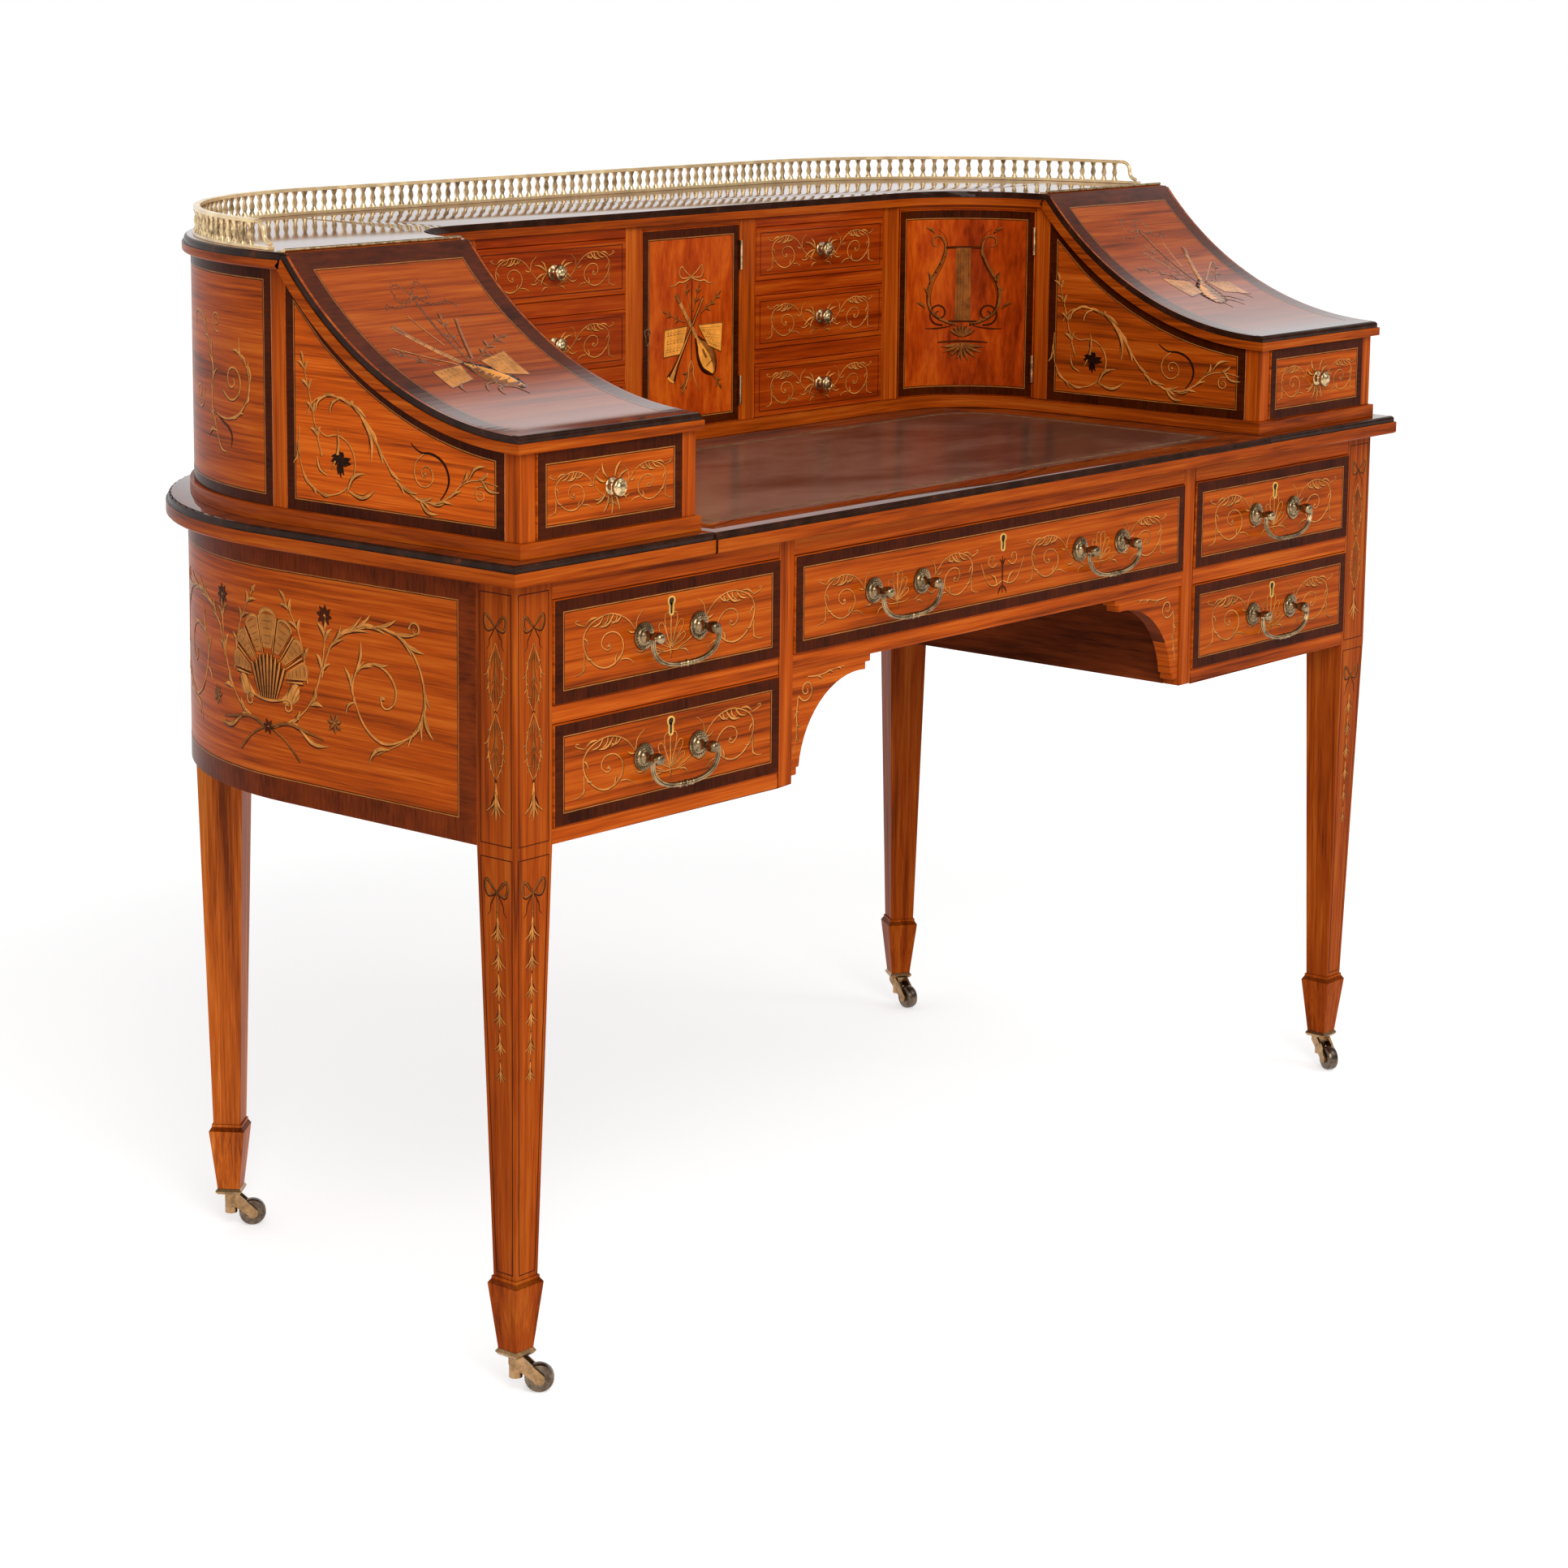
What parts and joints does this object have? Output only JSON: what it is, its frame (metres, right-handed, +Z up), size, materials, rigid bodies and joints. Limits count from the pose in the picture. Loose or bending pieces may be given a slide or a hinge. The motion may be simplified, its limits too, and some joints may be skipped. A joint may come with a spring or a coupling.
{
  "type": "carlton house desk",
  "caption": "Carlton house desk with tapered legs on casters, frieze drawers, a sliding leather writing board and a bowed stage of drawers, cupboards and sweep lids.",
  "frame": {"origin": "on the floor, at the middle of the object's box", "axes": "+X to the sitter's right, +Y to the bowed back, +Z up"},
  "size_m": [1.386, 0.6545, 1],
  "materials": {
    "satinwood": "french-polished figured satinwood",
    "mahogany": "french-polished dark mahogany",
    "lining": "waxed plain wood",
    "brass": "aged, rubbed bright on the high spots",
    "leather": "glossy, tooled gilt border"
  },
  "bodies": {
    "desk": {"legs": "satinwood", "carcass_panels": "satinwood", "front_frame": "satinwood", "inner_frame": "lining", "main_top": "mahogany", "stage_carcase": "lining", "stage_panels": "satinwood", "stage_frame": "satinwood", "stage_boards": "mahogany", "gallery_rails": "brass", "gallery_spindles": "brass", "hinges": "brass", "caster_plates": "brass"},
    "drawer_left_lower": {"drawer_left_lower": "satinwood", "drawer_brass_left_lower": "brass"},
    "bail_left_lower": {"bail_left_lower": "brass"},
    "drawer_left_upper": {"drawer_left_upper": "satinwood", "drawer_brass_left_upper": "brass"},
    "bail_left_upper": {"bail_left_upper": "brass"},
    "drawer_right_lower": {"drawer_right_lower": "satinwood", "drawer_brass_right_lower": "brass"},
    "bail_right_lower": {"bail_right_lower": "brass"},
    "drawer_right_upper": {"drawer_right_upper": "satinwood", "drawer_brass_right_upper": "brass"},
    "bail_right_upper": {"bail_right_upper": "brass"},
    "drawer_centre": {"drawer_centre": "satinwood", "drawer_brass_centre": "brass"},
    "bail_centre_left": {"bail_centre_left": "brass"},
    "bail_centre_right": {"bail_centre_right": "brass"},
    "small_drawer_left_bottom": {"small_drawer_left_bottom": "satinwood", "knob_left_bottom": "brass"},
    "small_drawer_left_middle": {"small_drawer_left_middle": "satinwood", "knob_left_middle": "brass"},
    "small_drawer_left_top": {"small_drawer_left_top": "satinwood", "knob_left_top": "brass"},
    "end_drawer_left": {"end_drawer_left": "satinwood", "knob_left_end": "brass"},
    "small_drawer_right_bottom": {"small_drawer_right_bottom": "satinwood", "knob_right_bottom": "brass"},
    "small_drawer_right_middle": {"small_drawer_right_middle": "satinwood", "knob_right_middle": "brass"},
    "small_drawer_right_top": {"small_drawer_right_top": "satinwood", "knob_right_top": "brass"},
    "end_drawer_right": {"end_drawer_right": "satinwood", "knob_right_end": "brass"},
    "centre_door": {"centre_door": "satinwood"},
    "corner_door_left": {"corner_door_left": "satinwood"},
    "corner_door_right": {"corner_door_right": "satinwood"},
    "lid_left": {"lid_left": "satinwood"},
    "lid_right": {"lid_right": "satinwood"},
    "writing_slide": {"writing_slide": "mahogany", "writing_leather": "leather"},
    "caster_fork_front_left": {"caster_fork_front_left": "brass"},
    "caster_wheel_front_left": {"caster_wheel_front_left": "brass"},
    "caster_fork_front_right": {"caster_fork_front_right": "brass"},
    "caster_wheel_front_right": {"caster_wheel_front_right": "brass"},
    "caster_fork_back_left": {"caster_fork_back_left": "brass"},
    "caster_wheel_back_left": {"caster_wheel_back_left": "brass"},
    "caster_fork_back_right": {"caster_fork_back_right": "brass"},
    "caster_wheel_back_right": {"caster_wheel_back_right": "brass"}
  },
  "joints": [
    {"name": "drawer_left_lower_slide", "type": "slide", "parent": "desk", "child": "drawer_left_lower", "axis": [0, -1, 0], "range_m": [0, 0.28]},
    {"name": "bail_left_lower_hinge", "type": "hinge", "parent": "drawer_left_lower", "child": "bail_left_lower", "pos_m": [-0.48, -0.32175, 0.546], "axis": [-1, 0, 0], "range_deg": [0, 90]},
    {"name": "drawer_left_upper_slide", "type": "slide", "parent": "desk", "child": "drawer_left_upper", "axis": [0, -1, 0], "range_m": [0, 0.28]},
    {"name": "bail_left_upper_hinge", "type": "hinge", "parent": "drawer_left_upper", "child": "bail_left_upper", "pos_m": [-0.48, -0.32175, 0.6525], "axis": [-1, 0, 0], "range_deg": [0, 90]},
    {"name": "drawer_right_lower_slide", "type": "slide", "parent": "desk", "child": "drawer_right_lower", "axis": [0, -1, 0], "range_m": [0, 0.28]},
    {"name": "bail_right_lower_hinge", "type": "hinge", "parent": "drawer_right_lower", "child": "bail_right_lower", "pos_m": [0.48, -0.32175, 0.546], "axis": [-1, 0, 0], "range_deg": [0, 90]},
    {"name": "drawer_right_upper_slide", "type": "slide", "parent": "desk", "child": "drawer_right_upper", "axis": [0, -1, 0], "range_m": [0, 0.28]},
    {"name": "bail_right_upper_hinge", "type": "hinge", "parent": "drawer_right_upper", "child": "bail_right_upper", "pos_m": [0.48, -0.32175, 0.6525], "axis": [-1, 0, 0], "range_deg": [0, 90]},
    {"name": "drawer_centre_slide", "type": "slide", "parent": "desk", "child": "drawer_centre", "axis": [0, -1, 0], "range_m": [0, 0.33]},
    {"name": "bail_centre_left_hinge", "type": "hinge", "parent": "drawer_centre", "child": "bail_centre_left", "pos_m": [-0.163, -0.32175, 0.6525], "axis": [-1, 0, 0], "range_deg": [0, 90]},
    {"name": "bail_centre_right_hinge", "type": "hinge", "parent": "drawer_centre", "child": "bail_centre_right", "pos_m": [0.163, -0.32175, 0.6525], "axis": [-1, 0, 0], "range_deg": [0, 90]},
    {"name": "small_drawer_left_bottom_slide", "type": "slide", "parent": "desk", "child": "small_drawer_left_bottom", "axis": [0, -1, 0], "range_m": [0, 0.12]},
    {"name": "small_drawer_left_middle_slide", "type": "slide", "parent": "desk", "child": "small_drawer_left_middle", "axis": [0, -1, 0], "range_m": [0, 0.12]},
    {"name": "small_drawer_left_top_slide", "type": "slide", "parent": "desk", "child": "small_drawer_left_top", "axis": [0, -1, 0], "range_m": [0, 0.12]},
    {"name": "end_drawer_left_slide", "type": "slide", "parent": "desk", "child": "end_drawer_left", "axis": [0, -1, 0], "range_m": [0, 0.17]},
    {"name": "small_drawer_right_bottom_slide", "type": "slide", "parent": "desk", "child": "small_drawer_right_bottom", "axis": [0, -1, 0], "range_m": [0, 0.12]},
    {"name": "small_drawer_right_middle_slide", "type": "slide", "parent": "desk", "child": "small_drawer_right_middle", "axis": [0, -1, 0], "range_m": [0, 0.12]},
    {"name": "small_drawer_right_top_slide", "type": "slide", "parent": "desk", "child": "small_drawer_right_top", "axis": [0, -1, 0], "range_m": [0, 0.12]},
    {"name": "end_drawer_right_slide", "type": "slide", "parent": "desk", "child": "end_drawer_right", "axis": [0, -1, 0], "range_m": [0, 0.17]},
    {"name": "centre_door_hinge", "type": "hinge", "parent": "desk", "child": "centre_door", "pos_m": [0.0749, 0.09625, 0.852], "axis": [0, 0, 1], "range_deg": [0, 90]},
    {"name": "corner_door_left_hinge", "type": "hinge", "parent": "desk", "child": "corner_door_left", "pos_m": [-0.445, -0.00715, 0.852], "axis": [0, 0, -1], "range_deg": [0, 90]},
    {"name": "corner_door_right_hinge", "type": "hinge", "parent": "desk", "child": "corner_door_right", "pos_m": [0.445, -0.00715, 0.852], "axis": [0, 0, 1], "range_deg": [0, 90]},
    {"name": "lid_left_hinge", "type": "hinge", "parent": "desk", "child": "lid_left", "pos_m": [-0.558, -0.01875, 0.9756], "axis": [-1, 0, 0], "range_deg": [0, 95]},
    {"name": "lid_right_hinge", "type": "hinge", "parent": "desk", "child": "lid_right", "pos_m": [0.558, -0.01875, 0.9756], "axis": [-1, 0, 0], "range_deg": [0, 95]},
    {"name": "writing_slide_slide", "type": "slide", "parent": "desk", "child": "writing_slide", "axis": [0, -1, 0], "range_m": [0, 0.2]},
    {"name": "caster_swivel_front_left", "type": "hinge", "parent": "desk", "child": "caster_fork_front_left", "pos_m": [-0.6505, -0.27925, 0.03], "axis": [0, 0, 1], "continuous": true},
    {"name": "caster_roll_front_left", "type": "hinge", "parent": "caster_fork_front_left", "child": "caster_wheel_front_left", "pos_m": [-0.63705, -0.29472, 0.013], "axis": [0.7547, 0.6561, 0], "continuous": true},
    {"name": "caster_swivel_front_right", "type": "hinge", "parent": "desk", "child": "caster_fork_front_right", "pos_m": [0.6505, -0.27925, 0.03], "axis": [0, 0, 1], "continuous": true},
    {"name": "caster_roll_front_right", "type": "hinge", "parent": "caster_fork_front_right", "child": "caster_wheel_front_right", "pos_m": [0.64025, -0.297, 0.013], "axis": [0.866, -0.5, 0], "continuous": true},
    {"name": "caster_swivel_back_left", "type": "hinge", "parent": "desk", "child": "caster_fork_back_left", "pos_m": [-0.52494, 0.22809, 0.03], "axis": [0, 0, 1], "continuous": true},
    {"name": "caster_roll_back_left", "type": "hinge", "parent": "caster_fork_back_left", "child": "caster_wheel_back_left", "pos_m": [-0.50947, 0.21464, 0.013], "axis": [0.6561, 0.7547, 0], "continuous": true},
    {"name": "caster_swivel_back_right", "type": "hinge", "parent": "desk", "child": "caster_fork_back_right", "pos_m": [0.52494, 0.22809, 0.03], "axis": [0, 0, 1], "continuous": true},
    {"name": "caster_roll_back_right", "type": "hinge", "parent": "caster_fork_back_right", "child": "caster_wheel_back_right", "pos_m": [0.51894, 0.20849, 0.013], "axis": [0.9563, -0.2924, 0], "continuous": true}
  ]
}
